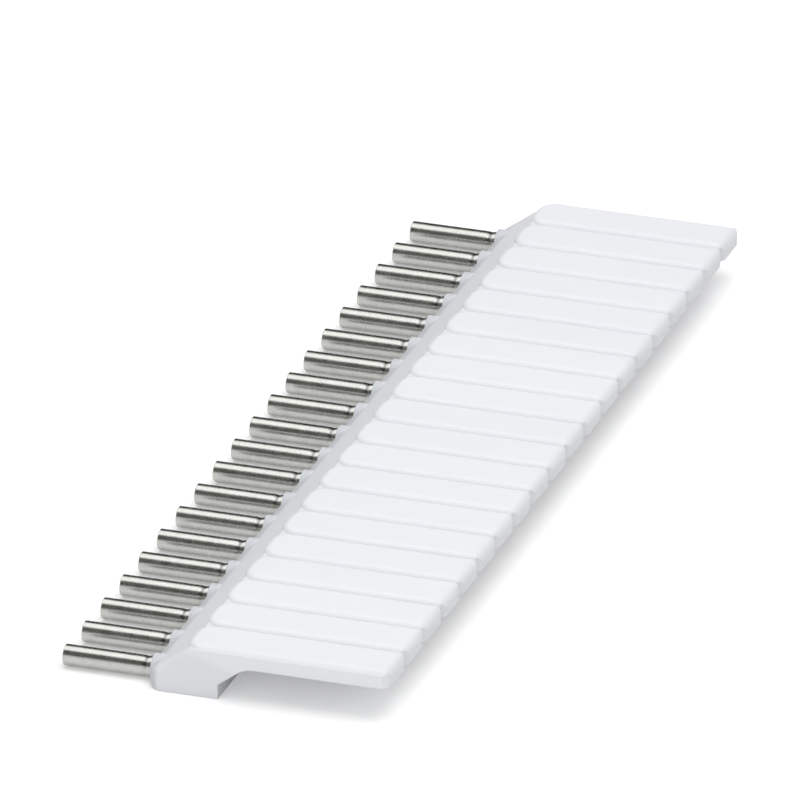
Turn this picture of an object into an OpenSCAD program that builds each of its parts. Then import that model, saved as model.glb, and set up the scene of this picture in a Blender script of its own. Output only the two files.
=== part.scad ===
// Insertion bridge for a row of screw terminals.
// A flat stamped comb joins all poles. Each of its tongues runs into a round
// sleeve, and one white moulding holds the comb and the sleeve roots. Behind
// the sleeves the moulding climbs a ramp to a plate of ribbed grip fingers.
// X runs from the sleeves to the finger ends, Y along the row, Z up from the sole
// of the foot, and the origin is under the middle of the whole part. The modules
// measure X from the front wall, where the sleeves come out. Sizes in millimetres.

/* [Row] */
// Number of poles in the row
poles = 20; // [2:1:20]
// Distance from one pole to the next
pitch = 6.2; // [5.6:0.1:8]

/* [Sleeves] */
// Outer diameter of a sleeve
sleeve_d = 2.36; // [2.2:0.02:2.6]
// Wall of a sleeve
sleeve_wall = 0.25; // [0.15:0.05:0.35]
// Length of a sleeve in front of the moulding
sleeve_out = 10.1; // [6:0.1:14]
// Length of a sleeve held in the moulding
sleeve_root = 2; // [1.5:0.1:3]
// Height of the sleeves above the surface that the foot stands on
sleeve_lift = 0.08; // [0.05:0.01:0.3]
// Depth of the ring pressed into a sleeve near its root
neck_depth = 0.06; // [0.02:0.01:0.1]
// Distance of that ring's deepest line from the front wall
neck_from_wall = 0.72; // [0.6:0.02:1.5]
// Length of each slope at the sides of the ring
neck_slope = 0.42; // [0.3:0.02:0.6]
// How much the lip of a sleeve stands out from its tube
lip_step = 0.03; // [0.01:0.01:0.06]
// Chamfer round the free end of a sleeve
tip_chamfer = 0.08; // [0.04:0.01:0.12]

/* [Comb] */
// Thickness of the stamped comb
comb_t = 0.8; // [0.5:0.05:1]
// Gap between the corners of a tongue and the sleeve round it
tongue_gap = 0.1; // [0.05:0.01:0.2]
// Distance of a tongue's end from the sleeve's free end
tongue_back = 1; // [0.5:0.1:3]
// Gap between the sleeve roots and the comb's back strip
strip_gap = 0.6; // [0.3:0.1:1]
// Width of the comb's back strip
strip_w = 4.2; // [3:0.1:4.4]
// Moulding left outside each end of the back strip
strip_end_wall = 1; // [0.6:0.1:2]

/* [Moulding] */
// Length from the front wall to the finger ends
reach = 27.5; // [22:0.5:36]
// Height of the front wall
front_h = 1.92; // [1.7:0.02:2.3]
// Angle of the ramp and of the slope under it
ramp_angle = 36.3; // [30:0.5:42]
// Length of the foot
foot_l = 8.2; // [8:0.1:9]
// Height of the foot's back face
foot_h = 1.72; // [1.2:0.02:2.4]
// Height of the plate's underside
under_z = 3.96; // [3.6:0.02:4.6]
// Fillet where the slope under the ramp meets the plate's underside
under_r = 3; // [1:0.5:5]
// Thickness of the plate over a finger
plate_t = 1.96; // [1.5:0.02:2.4]
// Rounding along the lower edge of the front wall
toe_r = 1.3; // [0.5:0.1:1.5]
// Rounding of the upright corners at the ends of the front wall
corner_r = 1.9; // [1:0.1:2.4]
// Wall of the hood over each sleeve root
hood_wall = 0.35; // [0.2:0.05:0.5]

/* [Fingers] */
// Depth of the grooves between fingers
groove_depth = 0.5; // [0.3:0.05:0.6]
// Gap between the sides of two fingers
groove_w = 0.1; // [0.06:0.02:0.4]
// Rounding along the fingers' upper edges and the ramp's two ends
edge_r = 0.9; // [0.6:0.1:1.1]
// Distance from the front wall to the fingers' noses on the ramp
finger_start = 4.3; // [4:0.1:6]
// Rounding of a nose's corners, seen from above
nose_r = 2.2; // [1.2:0.1:2.6]
// Rounding along the upper edge of the finger ends
end_r = 1; // [0.5:0.1:1.2]
// Rounding of the upright corners of the finger ends
tip_r = 1.1; // [0.5:0.1:1.5]
// Depth of the notches between finger ends
notch = 0.65; // [0.4:0.05:0.8]

/* [Hidden] */
$fn = 64;
white = [0.93, 0.94, 0.95];
copper = [0.78, 0.5, 0.34];
tin = [0.75, 0.75, 0.72];
// How far a cutting shape runs past what it cuts
past = 1;

sleeve_r = sleeve_d / 2;
bore_r = sleeve_r - sleeve_wall;
lip_r = sleeve_r + lip_step;
axis_z = sleeve_r + sleeve_lift;
tongue_w = 2 * sqrt(pow(bore_r - tongue_gap, 2) - pow(comb_t / 2, 2));
strip_x = sleeve_root + strip_gap;

finger_w = pitch - groove_w;
top_z = under_z + plate_t;
floor_z = top_z - groove_depth;
ramp_top_x = (floor_z - front_h) / tan(ramp_angle);
under_x = foot_l + (under_z - foot_h) / tan(ramp_angle);
under_run = under_r * tan(ramp_angle / 2);
web_x = reach - notch;
last_y = (poles * pitch - groove_w) / 2;
first_y = -last_y;
hood_r = lip_r + hood_wall;
hood_l = (axis_z + hood_r - front_h) / tan(ramp_angle) + past / 4;
nose_x = finger_start + nose_r;

// Middle of one pole along the row
function pole_y(i) = (i - (poles - 1) / 2) * pitch;

// Moves a piece from the front wall's frame to the middle of the whole part
module placed() {
    translate([(sleeve_out - reach) / 2, 0, 0]) children();
}

// A shape drawn in X and Z, made solid from one place along the row to another
module along_row(y0, y1) {
    translate([0, y1, 0]) rotate([90, 0, 0]) linear_extrude(y1 - y0) children();
}

// Side view of the moulding without its fingers
module body_side() {
    difference() {
        polygon([
            [0, 0], [foot_l, 0], [foot_l, foot_h], [under_x, under_z],
            [web_x, under_z], [web_x, floor_z], [ramp_top_x, floor_z], [0, front_h]
        ]);
        difference() {
            translate([-past, -past]) square(toe_r + past);
            translate([toe_r, toe_r]) circle(toe_r);
        }
    }
    difference() {
        polygon([
            [under_x - under_run * cos(ramp_angle), under_z - under_run * sin(ramp_angle)],
            [under_x + under_run, under_z], [under_x, under_z]
        ]);
        translate([under_x + under_run, under_z - under_r]) circle(under_r);
    }
}

// Plan view of the moulding, with round corners at the ends of the front wall
module body_plan() {
    translate([corner_r, first_y]) square([reach + past - corner_r, last_y - first_y]);
    translate([0, first_y + corner_r]) square([2 * corner_r, last_y - first_y - 2 * corner_r]);
    for (y = [first_y + corner_r, last_y - corner_r])
        translate([corner_r, y]) circle(corner_r);
}

// Everything under the ramp's plane, with round edges where the ramp ends
module under_ramp() {
    translate([0, 0, front_h]) rotate([0, -ramp_angle, 0])
        translate([-reach, 0, 0]) rotate([90, 0, 90]) linear_extrude(3 * reach) {
            translate([first_y, -reach]) square([last_y - first_y, reach - edge_r]);
            translate([first_y + edge_r, -reach])
                square([last_y - first_y - 2 * edge_r, reach]);
            for (y = [first_y + edge_r, last_y - edge_r])
                translate([y, -edge_r]) circle(edge_r);
        }
}

// Half-round hood over one sleeve root, its foot hidden in the front wall
module hood(i) {
    intersection() {
        translate([0, pole_y(i), axis_z]) rotate([0, 90, 0]) cylinder(r = hood_r, h = hood_l);
        translate([-past, pole_y(i) - hood_r - past, axis_z])
            cube([hood_l + 2 * past, 2 * (hood_r + past), hood_r + past]);
    }
}

// Section of a finger from an inner line to its outer side, with a round upper edge
module edge_section(run) {
    translate([0, under_z]) square([run, plate_t - edge_r]);
    translate([0, under_z]) square([run - edge_r, plate_t]);
    translate([run - edge_r, top_z - edge_r]) circle(edge_r);
}

// Side view that trims a finger's upper end edge
module finger_side() {
    difference() {
        translate([finger_start - past, under_z - past])
            square([reach - finger_start + past, plate_t + past]);
        difference() {
            translate([reach - end_r, top_z - end_r]) square(end_r + past);
            translate([reach - end_r, top_z - end_r]) circle(end_r);
        }
    }
}

// Plan view that trims a finger: the upright corners of its end
module finger_plan() {
    translate([finger_start - past, -pitch / 2]) square([reach - tip_r - finger_start + past, pitch]);
    translate([reach - tip_r - past, tip_r - finger_w / 2]) square([tip_r + past, finger_w - 2 * tip_r]);
    for (side = [-1, 1])
        translate([reach - tip_r, side * (finger_w / 2 - tip_r)]) circle(tip_r);
}

// One grip finger before its end is trimmed: a bar with a round nose
module finger_bar() {
    nose_y = finger_w / 2 - nose_r;
    translate([nose_x, 0, 0]) {
        rotate([90, 0, 90]) linear_extrude(reach - nose_x)
            for (side = [0, 1]) mirror([side, 0]) edge_section(finger_w / 2);
        translate([0, -nose_y, 0]) rotate([90, 0, 180]) linear_extrude(2 * nose_y)
            edge_section(nose_r);
        translate([0, nose_y, 0]) rotate([0, 0, 90]) rotate_extrude(angle = 90)
            edge_section(nose_r);
        translate([0, -nose_y, 0]) rotate([0, 0, 180]) rotate_extrude(angle = 90)
            edge_section(nose_r);
    }
}

// One grip finger, from its nose on the ramp to its free end
module finger(i) {
    translate([0, pole_y(i), 0])
        intersection() {
            finger_bar();
            along_row(-pitch, pitch) finger_side();
            linear_extrude(top_z + past) finger_plan();
        }
}

// The white moulding, formed round the comb and the sleeve roots
module housing() {
    color(white)
        difference() {
            union() {
                intersection() {
                    union() {
                        intersection() {
                            along_row(first_y, last_y) body_side();
                            under_ramp();
                        }
                        for (i = [0 : poles - 1]) hood(i);
                    }
                    translate([0, 0, -past]) linear_extrude(top_z + 2 * past) body_plan();
                }
                for (i = [0 : poles - 1]) finger(i);
            }
            for (i = [0 : poles - 1])
                translate([-past, pole_y(i), axis_z]) rotate([0, 90, 0])
                    cylinder(r = lip_r, h = sleeve_root + past);
            comb();
        }
}

// The flat comb: a back strip with one tongue for each pole
module comb() {
    translate([0, 0, axis_z - comb_t / 2]) linear_extrude(comb_t) {
        translate([strip_x, first_y + strip_end_wall])
            square([strip_w, last_y - first_y - 2 * strip_end_wall]);
        for (i = [0 : poles - 1])
            translate([tongue_back - sleeve_out, pole_y(i) - tongue_w / 2])
                square([sleeve_out - tongue_back + strip_x + strip_w / 2, tongue_w]);
    }
}

module bus_bar() {
    color(copper) comb();
}

// One round sleeve, turned about the axis of its pole
module pin(i) {
    neck_r = sleeve_r - neck_depth;
    neck_x = -neck_from_wall;
    color(tin)
        translate([0, pole_y(i), axis_z]) rotate([0, 90, 0]) rotate_extrude()
            polygon([
                [bore_r, -sleeve_out], [sleeve_r - tip_chamfer, -sleeve_out],
                [sleeve_r, tip_chamfer - sleeve_out],
                [sleeve_r, neck_x - neck_slope], [neck_r, neck_x], [lip_r, neck_x + neck_slope],
                [lip_r, sleeve_root], [bore_r, sleeve_root]
            ]);
}

placed() housing();
placed() bus_bar();
for (i = [0 : poles - 1])
    placed() pin(i);
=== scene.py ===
"""Insertion bridge for a row of screw terminals, lying on a white table top.

The moulding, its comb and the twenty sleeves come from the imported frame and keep
their shapes. This script gives them their finishes and sets the table, the lamps
and the camera. All lengths are in metres.
"""
from math import cos, radians, sin

import bpy
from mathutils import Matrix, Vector

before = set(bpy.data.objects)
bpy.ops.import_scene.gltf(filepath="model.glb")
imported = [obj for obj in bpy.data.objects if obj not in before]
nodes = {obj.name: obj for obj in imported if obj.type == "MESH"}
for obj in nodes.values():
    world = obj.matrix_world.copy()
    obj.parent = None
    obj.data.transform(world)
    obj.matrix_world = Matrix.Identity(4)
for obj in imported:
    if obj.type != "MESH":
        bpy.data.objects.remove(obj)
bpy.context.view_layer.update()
scene = bpy.context.scene
MM = 0.001


# Building materials

def new_material(name):
    """An empty node material, its output and a shader ready to be wired."""
    material = bpy.data.materials.new(name)
    material.use_nodes = True
    tree = material.node_tree
    tree.nodes.clear()
    out = tree.nodes.new("ShaderNodeOutputMaterial")
    shader = tree.nodes.new("ShaderNodeBsdfPrincipled")
    tree.links.new(shader.outputs["BSDF"], out.inputs["Surface"])
    return material, tree, shader


def object_point(tree, stretch=(1, 1, 1), turn=(0, 0, 0)):
    """Object coordinates, scaled along each axis."""
    coordinates = tree.nodes.new("ShaderNodeTexCoord")
    mapping = tree.nodes.new("ShaderNodeMapping")
    mapping.inputs["Scale"].default_value = stretch
    mapping.inputs["Rotation"].default_value = turn
    tree.links.new(coordinates.outputs["Object"], mapping.inputs["Vector"])
    return mapping.outputs["Vector"]


def noise(tree, point, scale, detail=2.0, roughness=0.5):
    """Noise whose grains are about 1 / scale metres wide."""
    texture = tree.nodes.new("ShaderNodeTexNoise")
    texture.inputs["Scale"].default_value = scale
    texture.inputs["Detail"].default_value = detail
    texture.inputs["Roughness"].default_value = roughness
    tree.links.new(point, texture.inputs["Vector"])
    return texture.outputs["Fac"]


def spread(tree, value, low, high, start=0.3, end=0.7):
    """Turns a noise value into one between low and high."""
    turned = tree.nodes.new("ShaderNodeMapRange")
    turned.inputs["From Min"].default_value = start
    turned.inputs["From Max"].default_value = end
    turned.inputs["To Min"].default_value = low
    turned.inputs["To Max"].default_value = high
    tree.links.new(value, turned.inputs["Value"])
    return turned.outputs["Result"]


def sums(tree, operation, *values):
    """One step of arithmetic on numbers and other nodes' results."""
    step = tree.nodes.new("ShaderNodeMath")
    step.operation = operation
    for slot, value in enumerate(values):
        if isinstance(value, (int, float)):
            step.inputs[slot].default_value = value
        else:
            tree.links.new(value, step.inputs[slot])
    return step.outputs["Value"]


def mix_colours(tree, factor, first, second):
    """A blend of two colours, each a plain one or another node's."""
    mix = tree.nodes.new("ShaderNodeMix")
    mix.data_type = "RGBA"
    for slot, colour in (("A", first), ("B", second)):
        if isinstance(colour, tuple):
            mix.inputs[slot].default_value = (*colour, 1)
        else:
            tree.links.new(colour, mix.inputs[slot])
    tree.links.new(factor, mix.inputs["Factor"])
    return mix.outputs["Result"]


def relief(tree, height, distance, strength=1.0, under=None):
    """A bump of that height in metres, on top of another one if given."""
    bump = tree.nodes.new("ShaderNodeBump")
    bump.inputs["Distance"].default_value = distance
    bump.inputs["Strength"].default_value = strength
    tree.links.new(height, bump.inputs["Height"])
    if under is not None:
        tree.links.new(under, bump.inputs["Normal"])
    return bump.outputs["Normal"]


def soft_edges(tree, radius):
    """Normals that round each sharp edge over that radius."""
    bevel = tree.nodes.new("ShaderNodeBevel")
    bevel.samples = 6
    bevel.inputs["Radius"].default_value = radius
    return bevel.outputs["Normal"]


# Finishes

# Where the moulding's painted shade gives way to its lit white: up a finger's rim, out to the row's
# two sides, along those sides on x + 3 z from the foot to the plate, and behind the front wall.
LOBE_RIM = (5.5 * MM, 5.91 * MM)
ROW_SIDE = (61.3 * MM, 61.8 * MM)
PLATE_END = (9.8 * MM, 12.3 * MM)
FRONT_WALL = (-7.9 * MM, -7.3 * MM)

# The upper half of the ring pressed into each sleeve is painted darker, as shade that breaks the
# highlight there:
# the ring's place, how the painted shade fades along the sleeve, and how it fades downwards.
RING_X = -9.42 * MM
RING_SHADE_WIDTH = (0.06 * MM, 0.28 * MM)
RING_SHADE_HEIGHT = (1.2 * MM, 1.8 * MM)


def moulded_plastic():
    """White polyamide with the satin skin of a spark-eroded mould, and painted shade below its
    finger tops and at its front wall.
    """
    material, tree, shader = new_material("white_moulding")
    point = object_point(tree)
    flow = noise(tree, object_point(tree, (0.35, 1, 1)), 70, 3)
    wave = spread(tree, flow, 0, 1)
    fingers = mix_colours(tree, wave, (0.85, 0.863, 0.898), (0.875, 0.888, 0.917))
    # Painted shade: a darker copy of the white for the ramp, the grooves, the foot and the end
    # faces.
    painted_shade = mix_colours(tree, wave, (0.79, 0.803, 0.835), (0.815, 0.828, 0.853))
    # Painted shade: a still darker copy of the white for the front wall and the collars round the
    # sleeves.
    front = mix_colours(tree, wave, (0.625, 0.642, 0.68), (0.65, 0.664, 0.697))
    place = tree.nodes.new("ShaderNodeSeparateXYZ")
    tree.links.new(point, place.inputs["Vector"])
    x, y, z = (place.outputs[axis] for axis in "XYZ")
    outside = spread(tree, sums(tree, "ABSOLUTE", y), 0, 1, *ROW_SIDE)
    plate = spread(tree, sums(tree, "MULTIPLY_ADD", z, 3, x), 0, 1, *PLATE_END)
    lobes = spread(tree, z, 0, 1, *LOBE_RIM)
    pale = sums(tree, "MAXIMUM", lobes, sums(tree, "MINIMUM", outside, plate))
    upper = mix_colours(tree, pale, painted_shade, fingers)
    colour = mix_colours(tree, spread(tree, x, 0, 1, *FRONT_WALL), front, upper)
    tree.links.new(colour, shader.inputs["Base Color"])
    skin = noise(tree, point, 4200, 2, 0.6)
    waves = noise(tree, point, 160, 2)
    gloss = spread(tree, noise(tree, point, 900, 3), 0.5, 0.6)
    tree.links.new(gloss, shader.inputs["Roughness"])
    rounded = soft_edges(tree, 0.12 * MM)
    broad = relief(tree, waves, 0.05 * MM, 0.35, rounded)
    tree.links.new(relief(tree, skin, 0.012 * MM, 0.5, broad), shader.inputs["Normal"])
    shader.inputs["IOR"].default_value = 1.5
    shader.inputs["Specular IOR Level"].default_value = 0.3
    shader.inputs["Subsurface Weight"].default_value = 0.15
    shader.inputs["Subsurface Radius"].default_value = (1.0, 0.95, 0.9)
    shader.inputs["Subsurface Scale"].default_value = 0.5 * MM
    return material


def tinned_metal():
    """Bright tin, with fine drawing lines along the sleeve and painted shade across the upper half
    of its pressed ring.
    """
    material, tree, shader = new_material("bright_tin")
    shader.inputs["Metallic"].default_value = 1
    cloud = noise(tree, object_point(tree), 900, 3)
    lines = noise(tree, object_point(tree, (0.02, 1, 1)), 9000, 2)
    colour = mix_colours(tree, spread(tree, cloud, 0, 1),
                         (0.47, 0.472, 0.45), (0.54, 0.542, 0.52))
    place = tree.nodes.new("ShaderNodeSeparateXYZ")
    tree.links.new(object_point(tree), place.inputs["Vector"])
    # Painted shade: a dark band across the ring's upper half breaks the highlight there, standing
    # in for the ring's dark reflection.
    from_ring = sums(tree, "ABSOLUTE", sums(tree, "SUBTRACT", place.outputs["X"], RING_X))
    across = spread(tree, from_ring, 1, 0, *RING_SHADE_WIDTH)
    upper = spread(tree, place.outputs["Z"], 0, 1, *RING_SHADE_HEIGHT)
    film_and_ring_shade = sums(tree, "MULTIPLY", across, upper)
    colour = mix_colours(tree, film_and_ring_shade, colour, (0.26, 0.26, 0.25))
    tree.links.new(colour, shader.inputs["Base Color"])
    tree.links.new(spread(tree, cloud, 0.24, 0.3), shader.inputs["Roughness"])
    rounded = soft_edges(tree, 0.02 * MM)
    tree.links.new(relief(tree, lines, 0.004 * MM, 0.05, rounded), shader.inputs["Normal"])
    return material


def bare_copper():
    """Stamped copper strip with a dull, patchy surface layer."""
    material, tree, shader = new_material("bare_copper")
    shader.inputs["Metallic"].default_value = 1
    film_and_ring_shade = noise(tree, object_point(tree), 700, 4)
    rolling = noise(tree, object_point(tree, (1, 0.03, 1)), 5000, 2)
    colour = mix_colours(tree, spread(tree, film_and_ring_shade, 0, 1),
                           (0.83, 0.49, 0.34), (0.62, 0.33, 0.22))
    tree.links.new(colour, shader.inputs["Base Color"])
    tree.links.new(spread(tree, film_and_ring_shade, 0.25, 0.42), shader.inputs["Roughness"])
    tree.links.new(relief(tree, rolling, 0.006 * MM, 0.4), shader.inputs["Normal"])
    return material


def dress(node, material):
    """Gives a CAD node one finish."""
    mesh = nodes[node].data
    mesh.materials.clear()
    mesh.materials.append(material)


plastic, tin, copper = moulded_plastic(), tinned_metal(), bare_copper()
dress("housing", plastic)
dress("bus_bar", copper)
for name in nodes:
    if name.startswith("pin_"):
        dress(name, tin)


# Table top, cards and surroundings

def seen_directly(tree):
    """1 for the camera and for reflections, 0 for light that only fills."""
    path = tree.nodes.new("ShaderNodeLightPath")
    total = path.outputs["Is Camera Ray"]
    for ray in ("Is Glossy Ray", "Is Transmission Ray"):
        add = tree.nodes.new("ShaderNodeMath")
        add.operation = "MAXIMUM"
        tree.links.new(total, add.inputs[0])
        tree.links.new(path.outputs[ray], add.inputs[1])
        total = add.outputs["Value"]
    return total


def flat_panel(name, middle, across, up, material):
    """A rectangle around a point, spanned by two half edges."""
    middle, across, up = Vector(middle), Vector(across), Vector(up)
    mesh = bpy.data.meshes.new(name)
    corners = [middle - across - up, middle + across - up,
               middle + across + up, middle - across + up]
    mesh.from_pydata([tuple(c) for c in corners], [], [(0, 1, 2, 3)])
    mesh.materials.append(material)
    panel = bpy.data.objects.new(name, mesh)
    scene.collection.objects.link(panel)
    return panel


def table_white():
    """White laminate that shows as white and still takes the shadow."""
    material, tree, shader = new_material("table_white")
    shader.inputs["Base Color"].default_value = (0.92, 0.92, 0.92, 1)
    shader.inputs["Roughness"].default_value = 0.9
    shader.inputs["Specular IOR Level"].default_value = 0
    lift = tree.nodes.new("ShaderNodeEmission")
    scale = tree.nodes.new("ShaderNodeMath")
    scale.operation = "MULTIPLY"
    scale.inputs[1].default_value = 0.235
    tree.links.new(seen_directly(tree), scale.inputs[0])
    tree.links.new(scale.outputs["Value"], lift.inputs["Strength"])
    both = tree.nodes.new("ShaderNodeAddShader")
    tree.links.new(shader.outputs["BSDF"], both.inputs[0])
    tree.links.new(lift.outputs["Emission"], both.inputs[1])
    out = next(n for n in tree.nodes if n.type == "OUTPUT_MATERIAL")
    tree.links.new(both.outputs["Shader"], out.inputs["Surface"])
    return material


def card(name, tone, glow=0.0):
    """Card of a grey tone that bright metal mirrors, lit from behind if it glows."""
    material, tree, shader = new_material(name)
    shader.inputs["Base Color"].default_value = (tone, tone, 0.95 * tone, 1)
    shader.inputs["Roughness"].default_value = 1
    shader.inputs["Specular IOR Level"].default_value = 0
    shader.inputs["Emission Color"].default_value = (1, 1, 1, 1)
    shader.inputs["Emission Strength"].default_value = glow
    return material


# The top lies a hair under the sole, so the two faces don't share a plane.
flat_panel("table_top", (0, 0, -0.01 * MM), (3, 0, 0), (0, 3, 0), table_white())

# Cards stand round the part, outside the picture. Only reflections see them.
CARD_FAR = 1.2
CARD_SPLIT = -0.22
CARD_END = 0.85


def card_strip(name, low, high, ends, material):
    """A card along X whose edges lie at two angles from upright, towards the camera."""
    edges = [Vector((0, -sin(radians(a)), cos(radians(a)))) * CARD_FAR for a in (low, high)]
    middle, half = (edges[0] + edges[1]) / 2, (edges[1] - edges[0]) / 2
    middle.x = (ends[0] + ends[1]) / 2
    strip = flat_panel(name, middle, ((ends[1] - ends[0]) / 2, 0, 0), half, material)
    strip.visible_camera = False
    strip.visible_diffuse = False
    strip.visible_shadow = False
    return strip


dark, grey, bright = card("card_dark", 0.05), card("card_grey", 0.22), card("card_bright", 0.8, 1.3)
card_strip("card_rear", -84, -38, (-3, CARD_END), dark)
card_strip("card_light", -32, 20, (-3, CARD_SPLIT), bright)
card_strip("card_front", 20, 74, (-3, CARD_SPLIT), grey)
card_strip("card_gap", -32, 20, (CARD_SPLIT, CARD_END), dark)
card_strip("card_low", 21, 70, (CARD_SPLIT, CARD_END), dark)

# Two flags beside the ends of the part keep low light off its end faces.
flag_black = card("flag_black", 0.02)
for place, height in ((-0.8, 0.44), (0.8, 0.38)):
    flag = flat_panel("flag", (place, 0, height / 2), (0, 2, 0), (0, 0, height / 2), flag_black)
    flag.visible_camera = False
    flag.visible_glossy = False

world = bpy.data.worlds.new("surroundings")
scene.world = world
world.use_nodes = True
sky = world.node_tree
background = next(n for n in sky.nodes if n.type == "BACKGROUND")
background.inputs["Color"].default_value = (1, 1, 1, 1)
FILL = 0.72
strength = sky.nodes.new("ShaderNodeMapRange")
strength.inputs["To Min"].default_value = FILL
strength.inputs["To Max"].default_value = 1
sky.links.new(seen_directly(sky), strength.inputs["Value"])
sky.links.new(strength.outputs["Result"], background.inputs["Strength"])


# Lamps

def soft_box(name, place, aim, size, power, colour=(1, 1, 1)):
    """A rectangular lamp at a place, turned to a point."""
    lamp = bpy.data.lights.new(name, "AREA")
    lamp.shape = "RECTANGLE"
    lamp.size, lamp.size_y = size
    lamp.energy = power
    lamp.color = colour
    box = bpy.data.objects.new(name, lamp)
    scene.collection.objects.link(box)
    box.location = place
    box.rotation_euler = (Vector(aim) - Vector(place)).to_track_quat("-Z", "Y").to_euler()
    return box


soft_box("lamp_overhead", (0.1, 0, 0.62), (0, 0, 0), (0.55, 0.5), 1.7)
front = soft_box("lamp_front", (0, -0.95, 0.28), (0, 0, 0), (1.4, 0.4), 1.15)
front.visible_glossy = False


# Camera

AZIMUTH, ELEVATION = radians(18.47), radians(24.47)
TARGET = Vector((-0.000615, 0, 0.00843))
DISTANCE = 2.151
camera = bpy.data.cameras.new("camera")
camera.sensor_width = 36
camera.lens = 883.8
camera.clip_end = 50
eye = bpy.data.objects.new("camera", camera)
scene.collection.objects.link(eye)
back = Vector((sin(AZIMUTH) * cos(ELEVATION), -cos(AZIMUTH) * cos(ELEVATION), sin(ELEVATION)))
eye.location = TARGET + DISTANCE * back
eye.rotation_euler = (-back).to_track_quat("-Z", "Y").to_euler()
scene.camera = eye

scene.view_settings.view_transform = "Standard"
